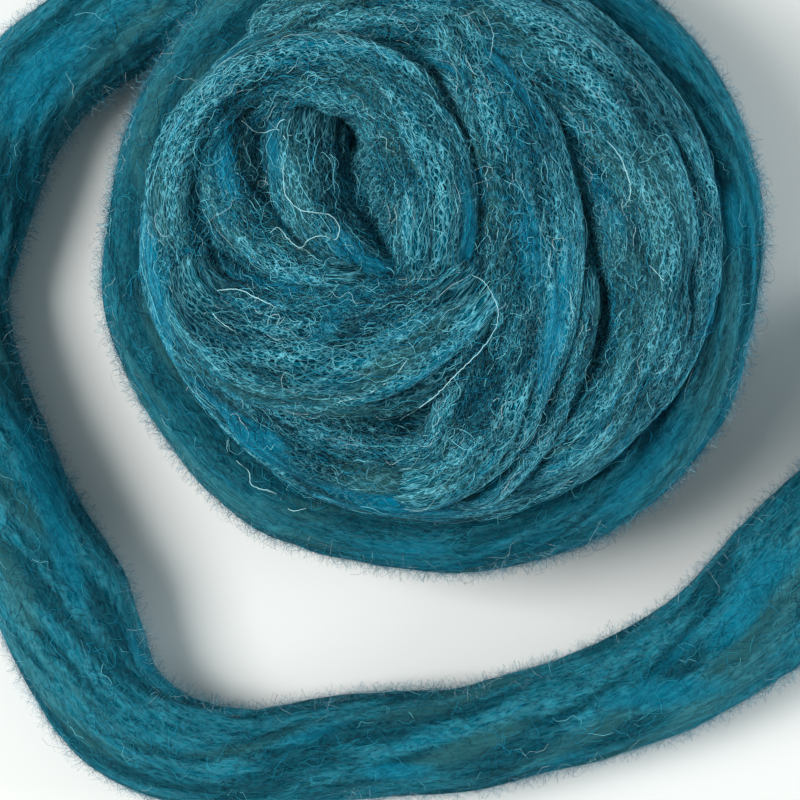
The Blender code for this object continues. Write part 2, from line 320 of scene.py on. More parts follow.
def heather(hills, around):
    """How far the wool is bright, brown or dark, in streaks that run along the strand."""
    kinds = []
    for long, wide, part in HEATHER:
        broad = hills(long, wide, around)
        narrow = hills(NARROW_LONG, NARROW_WIDE, around)
        kinds.append(amounts(broad + NARROW_SHARE * narrow, part))
    return np.stack(kinds, axis=-1)


def skin_of(strand, seed, squareness=1.0, relief=1.0):
    """The strand's uneven skin as grids of places, normals and wool: along it, then round it."""
    draw = np.random.default_rng(seed)
    line = strand.middle
    run = run_of(line)
    length = run[-1]
    round_size = 2.0 * math.pi * float(np.median(np.maximum(strand.half_across, strand.half_up)))
    sides = int(round_size / SIDE_STEP)
    share = (run / length)[:, None]
    around = (np.arange(sides) / sides)[None, :]
    angle = 2.0 * math.pi * around - 0.5 * math.pi
    twisted = around + run[:, None] * TWIST_A_MM

    def hills(long, wide, at):
        return smooth_noise(draw, length / long, round_size / wide, share, at)

    lumps = hills(LUMP_LENGTH, round_size / LUMPS_ROUND, around)
    locks = hills(LOCK_LENGTH, LOCK_WIDTH, twisted)
    ribs = hills(RIB_LENGTH, RIB_WIDTH, twisted)
    tufts = hills(TUFT_LENGTH, TUFT_WIDTH, around)
    grooves = np.exp(-(((locks - 0.5) / GROOVE_SHARPNESS) ** 2))
    swell = relief * (RIB_HEIGHT * (ribs - 0.5) - GROOVE_DEPTH * grooves + 0.3 * GROOVE_DEPTH)
    swell = swell + LUMP_HEIGHT * (2.0 * lumps - 1.0) + TUFT_HEIGHT * (2.0 * tufts - 1.0)
    size = np.minimum(strand.half_across, strand.half_up)[:, None]
    swell = swell * np.clip(size / FULL_RELIEF_SIZE, 0.15, 1.0)
    waves = (np.cos(angle), np.sin(angle))
    cosine, sine = (np.sign(wave) * np.abs(wave) ** squareness for wave in waves)
    places = (
        line[:, None, :]
        + strand.across[:, None, :] * ((strand.half_across[:, None] + swell) * cosine)[..., None]
        + strand.up[:, None, :] * ((strand.half_up[:, None] + swell) * sine)[..., None]
    )
    sunk = FLOOR_CLEAR + 1.0 - places[..., 2]
    places[..., 2] = np.where(sunk > 0.0, FLOOR_CLEAR + 1.0 - np.tanh(sunk), places[..., 2])
    ahead = np.gradient(places, axis=0)
    aside = np.roll(places, -1, axis=1) - np.roll(places, 1, axis=1)
    normals = unit(np.cross(aside, ahead))
    if float((normals * (places - line[:, None, :])).sum()) < 0.0:
        normals = -normals
    wool = heather(hills, twisted)
    # Painted shade in the grooves between the locks.
    wool[..., DARK] = np.maximum(wool[..., DARK], GROOVE_SHADE * relief * grooves)
    return Skin(strand.name, places, normals, wool, length, round_size)


def rows_of(name, skin, first, last):
    """A stretch of a skin, as a skin."""
    length = skin.length * (last - first) / (len(skin.places) - 1)
    grids = (grid[first : last + 1] for grid in (skin.places, skin.normals, skin.wool))
    return Skin(name, *grids, length, skin.round_size)


# === The ball from above ===

# How far the grids reach and their cells' size. How widely the web's and the creases' heights are
# blurred, how far the web lies below, how much painted shade it has, and where it ends and falls
# away. How deep a crease lies where its painted shade starts and where it is full. Where the painted
# shade on the last turn's inner side ends.
GRID_REACH, GRID_CELL = 72.0, 0.6
WEB_PASSES = 14
WEB_DROP, WEB_SHADE = 1.3, 0.6
WEB_REACH, WEB_FALLS_OVER, WEB_FALL = 42.0, 6.0, 8.0
WEB_SIDES, WEB_ROUNDS, WEB_MAP = 220, 52, (60.0 * math.pi, 50.0)
CORE_ROUNDS, CORE_SIDES, CORE_MAP = 40, 80, (110.0, 300.0)
CREASE_PASSES = 30
CREASE_STARTS, CREASE_FULL, CREASE_REACH = 0.7, 3.2, 60.0
SHADE_ENDS, SHADE_WIDTH, SHADE_LEANS = 64.0, 9.0, 4.0

# Patches of wool that stand out in the photograph, with the kind of each, its middle on the plan, its
# half length and half width, and which way it points. Each fades out beyond its edge. Bright and
# brown ones are dyed; dark ones are partly dark wool and partly painted shade in creases and folds.
PATCHES = (
    (BRIGHT, -39.6, 10.9, 8, 2, 96), (BRIGHT, -17.4, -1.5, 3.6, 1.2, 134),
    (BRIGHT, -27.5, -10.3, 1.8, 1.5, 0), (BRIGHT, -18.9, -15.4, 6.5, 1.4, 53),
    (BRIGHT, 21.6, -17.2, 11, 2, 80), (BRIGHT, -46, 39, 9, 3, 42),
    (BRIGHT, -52.5, -12.5, 13, 1.5, 100), (BRIGHT, 42, -43.5, 12, 2.6, 50),
    (BRIGHT, 58, 3.5, 6, 2.2, 84), (BRIGHT, 45, 40.5, 5, 2.2, 137),
    (BRIGHT, 0, -53, 4, 1.5, 0), (BRIGHT, 47, -90, 11, 2.4, 8),
    (BRIGHT, 60, -75, 7, 2.6, 50), (BRIGHT, 66, -66, 7, 2.4, 45),
    (BRIGHT, -8, -106, 6, 1.6, 0), (BROWN, -12, 22, 9, 3.5, -60),
    (DARK, -22, 19.5, 9, 2, 5), (DARK, -21.5, 9, 9, 3.6, 100),
    (BROWN, -8, -24, 11, 2.5, 40), (BROWN, -26, 6, 9, 2.2, 95),
    (BROWN, 12, 36, 8, 3, -35), (BROWN, 40, -10, 12, 1.6, 88),
    (DARK, 2, -12, 8, 2.2, 10), (DARK, 9, 39, 9, 2.4, -38),
    (BRIGHT, -75, -59.3, 12, 2, -70), (BRIGHT, -79, -47, 12, 2.6, -68),
    (BRIGHT, -79, 33, 12, 4.5, 47), (BRIGHT, -6, -60.5, 9, 1.8, 2),
    (BROWN, -84, -69, 9, 2.6, -66), (BROWN, -26.6, -58.6, 6, 1.4, -15),
    (DARK, -87, 16, 9, 3, -75), (DARK, -27, -103, 10, 2.5, 0),
    (DARK, -12, -98.2, 8, 2.2, 6), (DARK, 9, -102, 9, 2.5, 8),
    (DARK, 37, -98, 10, 2.5, 18),
)
PATCH_EDGE = 1.6


def dye_and_paint_shade(skin):
    """Puts the patches, dye and painted shade, into a skin's wool on its upper side."""
    x, y = skin.places[..., 0], skin.places[..., 1]
    upper = ease(skin.normals[..., 2] * 2.0)
    for kind, middle_x, middle_y, half_long, half_wide, angle in PATCHES:
        off_x, off_y = x - middle_x, y - middle_y
        cosine, sine = math.cos(math.radians(angle)), math.sin(math.radians(angle))
        along, aside = off_x * cosine + off_y * sine, off_y * cosine - off_x * sine
        amount = ease(PATCH_EDGE - np.hypot(along / half_long, aside / half_wide)) * upper
        wool = skin.wool[..., kind]
        np.maximum(wool, amount, out=wool)
        if kind != BRIGHT:
            skin.wool[..., BRIGHT] *= 1.0 - amount
        else:
            skin.wool[..., BROWN:] *= 1.0 - 0.8 * amount[..., None]


def finer(grid):
    """A skin's grid, read twice as finely both ways."""
    rows, columns = grid.shape[:2]
    return read_grid(grid, np.arange(0, rows - 1, 0.5)[:, None], np.arange(0, columns, 0.5)[None, :])


def blurred(values, passes):
    for axis in (0, 1) * passes:
        values = 0.5 * values + 0.25 * (np.roll(values, 1, axis) + np.roll(values, -1, axis))
    return values


def spread(values, seen, passes):
    """The blurred values of the cells that are seen, carried into the cells that aren't."""
    return blurred(values, passes) / np.maximum(blurred(seen, passes), 1e-3)


class Cover:
    """Grids over the ball's top: its height, its web's height, its slope, heading and wool."""

    def __init__(self, skins):
        points = []
        for skin in skins:
            along = slopes(skin.places.mean(axis=1))
            twice = 2.0 * np.arctan2(along[:, 1], along[:, 0])[:, None]
            heading = np.stack((np.cos(twice), np.sin(twice)), axis=-1)
            heading = np.broadcast_to(heading, skin.wool.shape[:2] + (2,))
            fine = finer(np.concatenate((skin.places, heading, skin.wool), axis=-1))
            points.append(fine.reshape(-1, fine.shape[-1]))
        points = np.concatenate(points)
        points = points[np.argsort(points[:, 2], kind="stable")]
        count = int(2 * GRID_REACH / GRID_CELL)
        cell = np.floor((points[:, :2] + GRID_REACH) / GRID_CELL).astype(int)
        kept = ((cell >= 0) & (cell < count)).all(axis=1)
        row, column = cell[kept].T
        seen = np.zeros((count, count, 1))
        seen[row, column] = 1.0
        values = np.zeros((count, count, points.shape[1] - 2))
        # The points come in the order of their heights, so that a cell keeps the highest.
        values[row, column] = points[kept, 2:]
        filled = np.where(seen > 0.0, values, spread(values, seen, 2))
        wide = spread(values[..., :1], seen, WEB_PASSES)
        middle = (np.arange(count) + 0.5) * GRID_CELL - GRID_REACH
        reach = np.hypot(middle[:, None], middle[None, :])
        self.web = wide[..., 0] - WEB_DROP - WEB_FALL * ease((reach - WEB_REACH) / WEB_FALLS_OVER)
        self.height = np.maximum(filled[..., 0], self.web)
        self.slope = np.stack(np.gradient(blurred(self.height, 2), GRID_CELL), axis=-1)
        self.swirl = blurred(filled[..., 1:3], 4)
        self.wool = filled[..., 3:]
        # Painted shade: the deeper a place lies below its widely blurred surroundings, near enough to
        # the middle, the darker its wool is made.
        depth = (spread(values[..., :1], seen, CREASE_PASSES) - filled[..., :1])[..., 0]
        inner = ease((CREASE_REACH + 3.0 - reach) / 3.0)
        self.crease = inner * ease((depth - CREASE_STARTS) / (CREASE_FULL - CREASE_STARTS))
        self.wool[..., DARK] = np.maximum(self.wool[..., DARK], self.crease)

    def read(self, grid, spots):
        at = (spots + GRID_REACH) / GRID_CELL - 0.5
        return read_grid(grid[..., None] if grid.ndim == 2 else grid, at[..., 0], at[..., 1])

    def heading(self, spots):
        swirl = self.read(self.swirl, spots)
        return 0.5 * np.arctan2(swirl[..., 1], swirl[..., 0])

    def normals(self, spots):
        slope = self.read(self.slope, spots)
        return unit(np.concatenate((-slope, np.ones_like(slope[..., :1])), axis=-1))


def paint_crease_shade(skin, cover):
    """Paints shade into wool that lies deep in a crease, less where it is bright or faces down."""
    crease = cover.read(cover.crease, skin.places[..., :2])[..., 0]
    wool = skin.wool[..., DARK]
    crease = crease * (1.0 - 0.6 * skin.wool[..., BRIGHT])
    np.maximum(wool, crease * ease(skin.normals[..., 2] * 2.0 + 0.6), out=wool)


def paint_inner_side_shade(skin):
    """Painted shade on the last turn by the ball, most on the left, where its bright wool fades."""
    x, y = skin.places[..., 0], skin.places[..., 1]
    reach = np.hypot(x, y) + SHADE_LEANS * x / LAST_TURN.radius
    inner = ease((SHADE_ENDS - reach) / SHADE_WIDTH)
    np.maximum(skin.wool[..., DARK], inner, out=skin.wool[..., DARK])
    skin.wool[..., BRIGHT] *= 1.0 - inner


def web_skin(cover):
    """The felted surface that closes the creases a little way down: round it, then outwards."""
    turn = np.linspace(0.0, 2.0 * math.pi, WEB_SIDES)
    reach = np.linspace(0.4, WEB_REACH + WEB_FALLS_OVER, WEB_ROUNDS)
    spots = np.stack((np.outer(np.cos(turn), reach), np.outer(np.sin(turn), reach)), axis=-1)
    places = np.concatenate((spots, cover.read(cover.web, spots)), axis=-1)
    wool = cover.read(cover.wool, spots)
    # The web lies down in the creases, so its wool is given painted shade.
    wool[..., DARK] = WEB_SHADE
    return Skin("web", places, cover.normals(spots), wool, *WEB_MAP)


# === Meshes ===


def add_piece(name, mesh, *materials):
    for material in materials:
        mesh.materials.append(material)
    piece = bpy.data.objects.new(name, mesh)
    bpy.context.scene.collection.objects.link(piece)
    return piece


def add_skin(skin, material, grain_start=0.0, tube=True):
    """A piece with this skin, closed at its ends if it is a tube.

    One map fills the square for baking, one holds millimetres along and round for the wool's grain.
    """
    rows, sides = skin.places.shape[:2]
    around = sides if tube else sides - 1
    row = np.arange(rows - 1)[:, None]
    side = np.arange(around)[None, :]
    after = (side + 1) % sides
    low, high = row * sides, (row + 1) * sides
    corners = (low + side, low + after, high + after, high + side)
    faces = np.stack(corners, axis=-1).reshape(-1, 4)
    middle = rows // 2
    here = skin.places[middle, 0]
    facing = np.cross(skin.places[middle, 1] - here, skin.places[middle + 1, 0] - here)
    if float(facing @ skin.normals[middle, 0]) < 0.0:
        faces = faces[:, ::-1]
    faces = faces.tolist()
    walls = len(faces)
    if tube:
        faces += [list(range(sides)), [(rows - 1) * sides + index for index in range(sides)]]
    mesh = bpy.data.meshes.new(skin.name)
    mesh.from_pydata((skin.places.reshape(-1, 3) * MM).tolist(), [], faces)
    loops = np.empty(len(mesh.loops), dtype=np.int32)
    mesh.loops.foreach_get("vertex_index", loops)
    u = np.repeat(np.linspace(0.0, 1.0, rows), sides)[loops]
    v = np.tile(np.arange(sides) / max(around, 1), rows)[loops]
    if tube:
        quads = v[: walls * 4].reshape(-1, 4)
        wraps = quads.max(axis=1, keepdims=True) > 0.9
        v[: walls * 4] = np.where(wraps & (quads < 0.1), 1.0, quads).ravel()
    bake = mesh.uv_layers.new(name="OFBake")
    bake.uv.foreach_set("vector", np.stack((0.01 + 0.98 * u, 0.01 + 0.98 * v), axis=1).ravel())
    grain = mesh.uv_layers.new(name="grain")
    millimetres = np.stack((grain_start + u * skin.length, v * skin.round_size), axis=1)
    grain.uv.foreach_set("vector", millimetres.ravel())
    wool = mesh.color_attributes.new("wool", "FLOAT_COLOR", "POINT")
    amount = np.concatenate((skin.wool.reshape(-1, 3), np.ones((rows * sides, 1))), axis=1)
    wool.data.foreach_set("color", amount.astype(np.float32).ravel())
    mesh.shade_smooth()
    for face in mesh.polygons[walls:]:
        face.use_smooth = False
    mesh.update()
    return add_piece(skin.name, mesh, material)


def core_skin():
    """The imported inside, which closes the ball under its turns."""
    high = np.radians(np.linspace(-88.0, 88.0, CORE_ROUNDS))[:, None]
    turn = np.linspace(0.0, 2.0 * math.pi, CORE_SIDES, endpoint=False)[None, :]
    rise = np.where(high > 0.0, CORE_RISE, CORE_DROP) * np.sin(high)
    height = np.maximum(CORE_MIDDLE + rise, FLOOR_CLEAR) + 0.0 * turn
    reach = CORE_RADIUS * np.cos(high)
    places = np.stack((reach * np.cos(turn), reach * np.sin(turn), height), axis=-1)
    outward = unit(places - UP * CORE_MIDDLE)
    # Painted shade: the core lies under the turns, so its wool is made fully dark.
    dark = np.zeros(places.shape)
    dark[..., DARK] = 1.0
    return Skin("core", places, outward, dark, *CORE_MAP)


# === Wool ===


def linear(red, green, blue):
    """A colour given in the screen's 0 to 255, as the shader wants it."""
    parts = np.array((red, green, blue)) / 255.0
    dark = parts / 12.92
    light = ((parts + 0.055) / 1.055) ** 2.4
    return tuple(np.where(parts <= 0.04045, dark, light)) + (1.0,)


DEEP = linear(0, 26, 38)
LIGHT_TEAL = linear(122, 216, 236)
TURQUOISE = linear(0, 136, 170)
OLIVE = linear(50, 104, 108)

FLAT_NOISE = {"noise_dimensions": "2D"}
FLAT_EDGES = {"voronoi_dimensions": "2D", "feature": "DISTANCE_TO_EDGE"}


class Nodes:
    """A short way to write a material's nodes and links.

    An input is given by its name, with underscores for spaces, or by its number, such as i0.
    """

    def __init__(self, tree):
        self.tree = tree

    def add(self, kind, settings=None, **inputs):
        node = self.tree.nodes.new(kind)
        for key, value in (settings or {}).items():
            setattr(node, key, value)
        for key, value in inputs.items():
            self.put(node, key, value)
        return node

    def put(self, node, key, value):
        place = int(key[1:]) if key[0] == "i" and key[1:].isdigit() else key.replace("_", " ")
        socket = node.inputs[place]
        if isinstance(value, bpy.types.NodeSocket):
            self.tree.links.new(value, socket)
        else:
            socket.default_value = value

    def math(self, kind, first, second):
        return self.add("ShaderNodeMath", {"operation": kind}, i0=first, i1=second).outputs[0]

    def times(self, first, second):
        return self.math("MULTIPLY", first, second)

    def without(self, share, amount):
        """What is left of 1 when this share of the amount is taken off."""
        return self.math("SUBTRACT", 1.0, self.times(amount, share))

    def mix(self, share, first, second):
        node = self.add("ShaderNodeMix", {"data_type": "RGBA"}, i0=share, i6=first, i7=second)
        return node.outputs[2]

    def ramp(self, value, low, high):
        ease_in = {"interpolation_type": "SMOOTHSTEP"}
        node = self.add("ShaderNodeMapRange", ease_in, Value=value, From_Min=low, From_Max=high)
        return node.outputs[0]

    def mapped(self, vector, turn, shift, stretch):
        """A map shifted and turned, and then stretched by these two lengths."""
        turned = (0.0, 0.0, math.radians(turn))
        place = self.add("ShaderNodeMapping", Vector=vector, Location=(*shift, 0.0), Rotation=turned)
        scale = (1.0 / stretch[0], 1.0 / stretch[1], 1.0)
        return self.add("ShaderNodeMapping", Vector=place.outputs[0], Scale=scale).outputs[0]

    def noise(self, vector, **inputs):
        return self.add("ShaderNodeTexNoise", FLAT_NOISE, Vector=vector, **inputs)

    def streaks(self, vector, stretch, turn, shift, detail, distortion):
        """Noise whose hills are this long and wide."""
        vector = self.mapped(vector, turn, shift, stretch)
        inputs = {"Scale": 1.0, "Detail": detail, "Roughness": 0.6, "Distortion": distortion}
        return self.noise(vector, **inputs).outputs["Fac"]

    def hair_lines(self, vector, turn, shift, size, thin):
        """Thin curly lines: the edges of cells of this size, on a map that a noise bends."""
        vector = self.mapped(vector, turn, shift, (size / LACE_STRETCH, size))
        hills = self.noise(vector, Scale=LACE_BENDS, Detail=1.0).outputs["Color"]
        curl = (LACE_CURL, LACE_CURL, 0.0)
        add_curl = {"operation": "MULTIPLY_ADD"}
        bent = self.add("ShaderNodeVectorMath", add_curl, i0=hills, i1=curl, i2=vector).outputs[0]
        cells = self.add("ShaderNodeTexVoronoi", FLAT_EDGES, Vector=bent, Scale=1.0)
        return self.ramp(cells.outputs["Distance"], thin / size, 0.3 * thin / size)


# The lace of curly fibres on a skin: how many degrees each layer of it is turned from the wool's run,
# how wide its curls are, in millimetres, and how strongly it shows. All are stretched along the run.
LACES = ((7, 0.55, 0.85), (-13, 0.9, 0.95), (22, 1.4, 1.0))
LACE_STRETCH, LACE_BENDS, LACE_CURL = 0.26, 1.2, 0.9

# The paler and darker streaks of the locks: how long and wide they are, in millimetres, between
# which values of their noise they change, and how much of the lace is left in the dark ones.
LOCK_STREAK, LOCK_CHANGES, LOCK_LACE = (26.0, 1.3), (0.36, 0.60), 0.4
OLIVE_SHARE = 0.6

# The grain of a skin's colour: the length and width of its streaks, the colours that they run between
# and how softly; how strong, how thin and how large its lace is; how deep its bumps are; and how far
# its dark wool and painted shade, its bright wool and the streaks of its locks stand out.
Grain = namedtuple("Grain", "streak shade light soft lace thin curls bump dark bright locks")
CRISP_COLOURS = linear(0, 33, 47), linear(0, 122, 146)
CRISP = Grain((2.6, 0.25), *CRISP_COLOURS, 0.07, 1.0, 0.066, 1.0, 0.35, 0.80, 0.85, 0.45)
SOFT_COLOURS = linear(0, 72, 90), linear(22, 124, 144)
SOFT = Grain((2.4, 1.2), *SOFT_COLOURS, 0.24, 0.14, 0.30, 2.2, 0.08, 0.64, 0.34, 0.12)


def new_material(name, **inputs):
    """A material and its shader, with these inputs: underscores stand for spaces."""
    material = bpy.data.materials.new(name)
    material.use_nodes = True
    shader = material.node_tree.nodes["Principled BSDF"]
    for key, value in inputs.items():
        shader.inputs[key.replace("_", " ")].default_value = value
    return material, shader


SKIN_SHEEN = {"Sheen_Weight": 0.08, "Sheen_Roughness": 0.6, "Sheen_Tint": linear(60, 170, 190)}
FIBRE_SHEEN = {"Sheen_Weight": 0.05, "Sheen_Roughness": 0.5}


def skin_wool(name, kind):
    """The strands' own skin: streaked as its mesh says, with a net of fine fibres over it."""
    material, shader = new_material(name, Roughness=0.95, Specular_IOR_Level=0.05, **SKIN_SHEEN)
    nodes = Nodes(material.node_tree)
    grain = nodes.add("ShaderNodeUVMap", {"uv_map": "grain"}).outputs[0]
    amount = nodes.add("ShaderNodeAttribute", {"attribute_name": "wool"}).outputs["Color"]
    bright, brown, dark = nodes.add("ShaderNodeSeparateColor", Color=amount).outputs[:3]
    streaks = nodes.streaks(grain, kind.streak, 5.0, (0.0, 0.0), 3.0, 1.0)
    streaked = nodes.ramp(streaks, 0.49 - kind.soft, 0.49 + kind.soft)
    colour = nodes.mix(streaked, kind.shade, kind.light)
    # The dark amount is dark wool and painted shade together; it mixes in the deep colour and thins the
    # net.
    colour = nodes.mix(nodes.times(dark, kind.dark), colour, DEEP)
    colour = nodes.mix(nodes.times(bright, kind.bright), colour, TURQUOISE)
    colour = nodes.mix(nodes.times(brown, OLIVE_SHARE), colour, OLIVE)
    lines = 0.0
    for number, (turn, size, share) in enumerate(LACES):
        shift = (17.0 * number, 23.0 * number)
        layer = nodes.hair_lines(grain, turn, shift, kind.curls * size, kind.thin)
        lines = nodes.math("MAXIMUM", lines, nodes.times(layer, share))
    locks = nodes.ramp(nodes.streaks(grain, LOCK_STREAK, 0.0, (61.0, 7.0), 2.0, 0.0), *LOCK_CHANGES)
    lines = nodes.times(lines, nodes.math("ADD", nodes.times(locks, 1.0 - LOCK_LACE), LOCK_LACE))
    colour = nodes.mix(nodes.times(nodes.without(1.0, locks), kind.locks), colour, DEEP)
    net_share = nodes.times(lines, kind.lace)
    net_share = nodes.times(net_share, nodes.without(0.6, bright))
    net_share = nodes.times(net_share, nodes.without(0.7, dark))
    nodes.put(shader, "Base_Color", nodes.mix(net_share, colour, LIGHT_TEAL))
    height = nodes.math("ADD", streaks, lines)
    bump = nodes.add("ShaderNodeBump", Height=height, Strength=0.7, Distance=kind.bump * MM)
    nodes.put(shader, "Normal", bump.outputs[0])
    return material


# The dyed fibres that make the heather: their colours, and how common each is in plain wool, in a
# bright lock, in a brown one, in a dark one, which holds painted shade too, on the soft last turn and
# in the halo that stands off it. The halo tone is partly painted light.
Tone = namedtuple("Tone", "name colour plain bright brown dark soft halo", defaults=(0.0, 0.0))
TONES = (
    Tone("mid_teal", linear(2, 112, 140), 0.20, 0.16, 0.24, 0.24, 0.72, 0.45),
    Tone("light_teal", linear(46, 158, 182), 0.30, 0.20, 0.18, 0.08, 0.14, 0.35),
    Tone("bright_teal", linear(124, 218, 236), 0.30, 0.10, 0.18, 0.02),
    # Painted light, in part: the halo tone is paler than the wool, so that the fine fuzz at the rims
    # looks lit through.
    Tone("halo", linear(180, 214, 222), 0.04, 0.00, 0.02, 0.00, 0.00, 0.20),
    Tone("deep_teal", linear(0, 62, 84), 0.10, 0.14, 0.16, 0.38, 0.14, 0.00),
    Tone("turquoise", linear(0, 150, 192), 0.02, 0.40, 0.00, 0.04),
    Tone("navy", linear(0, 30, 42), 0.10, 0.03, 0.08, 0.24),
    Tone("olive", linear(66, 116, 100), 0.01, 0.00, 0.13, 0.00),
    Tone("pale", linear(172, 224, 232), 0.008, 0.002, 0.01, 0.00),
)


def fibre_wool(tone):
    inputs = {"Base_Color": tone.colour, "Roughness": 0.75, "Specular_IOR_Level": 0.12, **FIBRE_SHEEN}
    return new_material("fibre_" + tone.name, **inputs)[0]


# === Fibres ===

# Where fibres grow: the share of them where the skin looks sideways, how much more it is where the
# skin looks up, and the least share.
ABOVE, EDGES, RIMS = (0.30, 0.85, 0.06), (1.0, -1.1, 0.05), (1.2, -2.2, 0.0)

# A sort of fibre: where it grows, its points, its length and width, how far its heading departs from
# the strand's, how much it curls, how low and high over the skin it lies, how many have a free end,
# how much darker than the wool it is, which is painted shade, and how far its tones are the soft ones
# or the halo's.
Growth = namedtuple(
    "Growth", "facing points length width spread curl low high free dark soft halo", defaults=[0.0] * 4
)
# Fibres that lie low under the others are darker: painted shade.
UNDER_HAIR = Growth(ABOVE, 6, (3.0, 6.0), (0.08, 0.12), 30.0, 0.50, 0.05, 0.20, dark=0.5)
TOP_HAIR = Growth(ABOVE, 8, (4.0, 9.0), (0.05, 0.09), 12.0, 0.30, 0.15, 0.60)
DRIFTING_HAIR = Growth(ABOVE, 9, (4.0, 9.0), (0.05, 0.09), 17.0, 0.36, 0.20, 0.80)
LONG_HAIR = Growth(ABOVE, 14, (9.0, 18.0), (0.06, 0.09), 40.0, 0.50, 0.30, 1.10)
SOFT_HAIR = Growth(ABOVE, 6, (5.0, 10.0), (0.05, 0.08), 32.0, 0.45, 0.10, 0.60, soft=1.0)
FUZZ = Growth(EDGES, 6, (4.0, 9.0), (0.04, 0.06), 55.0, 0.40, 0.30, 3.40, 0.5, soft=0.8, halo=0.2)
HAZE = Growth(RIMS, 3, (1.6, 4.2), (0.035, 0.055), 80.0, 0.20, 0.30, 2.80, 0.8, halo=1.0)


BATCH = 4000


def inside(points, strand, margin):
    """Which points lie inside a strand, this far under its skin."""
    held = np.zeros(len(points), dtype=bool)
    for start in range(0, len(points), BATCH):
        some = points[start : start + BATCH]
        away = some[:, None, :] - strand.middle[None, ::2, :]
        nearest = 2 * np.argmin((away * away).sum(axis=2), axis=1)
        gap = some - strand.middle[nearest]
        half_across = np.maximum(strand.half_across[nearest] - margin, 0.5)
        half_up = np.maximum(strand.half_up[nearest] - margin, 0.5)
        aside = (gap * strand.across[nearest]).sum(axis=1) / half_across
        above = (gap * strand.up[nearest]).sum(axis=1) / half_up
        reach = np.maximum(strand.half_across, strand.half_up)[nearest] + 2.0
        near = np.linalg.norm(gap, axis=1) <= reach
        held[start : start + BATCH] = (aside * aside + above * above < 1.0) & near
    return held


# How strongly and often a fibre waves, how much its free or held ends narrow, and how deep it roots.
WAVES, BEATS = (0.6, 2.2), (6.0, 14.0)
FREE_TAPER, HELD_TAPER, ROOTED = 0.7, 0.6, 0.3


def wander(growth, many, draw):
    """The lengths of fibres and how their headings stray from the wool's, point by point."""
    length = draw.uniform(*growth.length, many)
    at = np.linspace(0.0, 1.0, growth.points)[None, :]
    stray = np.radians(draw.normal(0.0, growth.spread, (many, 1)))
    curl = draw.normal(0.0, growth.curl, (many, 1)) * length[:, None] * (at - 0.5)
    wave = draw.uniform(*WAVES, (many, 1)) * growth.curl
    phase, beat = draw.uniform(0.0, 2.0 * math.pi, (many, 1)), draw.uniform(*BEATS, (many, 1))
    return length, stray + curl + wave * np.sin(phase + beat * at)


def rise_of(growth, many, draw):
    """How high over the skin each point of the fibres lies, and how wide the fibres are there."""
    at = np.linspace(0.0, 1.0, growth.points)[None, :]
    free = draw.random((many, 1)) < growth.free
    arch = np.where(free, at ** 1.5, np.sin(math.pi * at))
    rise = growth.low + (growth.high - growth.low) * draw.random((many, 1)) ** 1.3 * arch
    out = np.abs(2.0 * at - 1.0)
    rise = rise - np.where(free, ROOTED * (1.0 - at) ** 6, ROOTED * out ** 4)
    taper = np.where(free, 1.0 - FREE_TAPER * at ** 2, 1.0 - HELD_TAPER * out ** 3)
    return rise, draw.uniform(*growth.width, (many, 1)) * taper


def tones_for(wool, growth, draw):
    """A tone for each fibre, from the wool that it grows in."""
    wool = np.clip(wool, 0.0, 1.0)
    bright, brown = wool[:, BRIGHT], wool[:, BROWN]
    # A sort's own darkening, painted shade, adds to the wool's dark.
    dark = np.clip(wool[:, DARK] + growth.dark, 0.0, 1.0)
    plain = np.clip(1.0 - bright - brown - dark, 0.05, 1.0)
    own = 1.0 - growth.soft - growth.halo
    shares = (plain * own, bright * own, brown * own, dark * (own + growth.soft))
    halo = np.full(len(wool), growth.halo)
    weights = np.stack((*shares, (1.0 - dark) * growth.soft, halo), axis=1)
    table = np.array([tone[2:] for tone in TONES])
    chances = (weights @ (table / table.sum(axis=0)).T).cumsum(axis=1)
    pick = draw.random((len(wool), 1)) * chances[:, -1:]
    return (pick > chances).sum(axis=1).clip(0, len(TONES) - 1)


def chance_of(facing, normal):
    """How likely fibres are there. What grows less where the skin looks up does so underneath too."""
    sideways, more, least = facing
    up = normal[:, 2] if more > 0.0 else np.abs(normal[:, 2])
    return np.clip(sideways + more * up, least, 1.0)


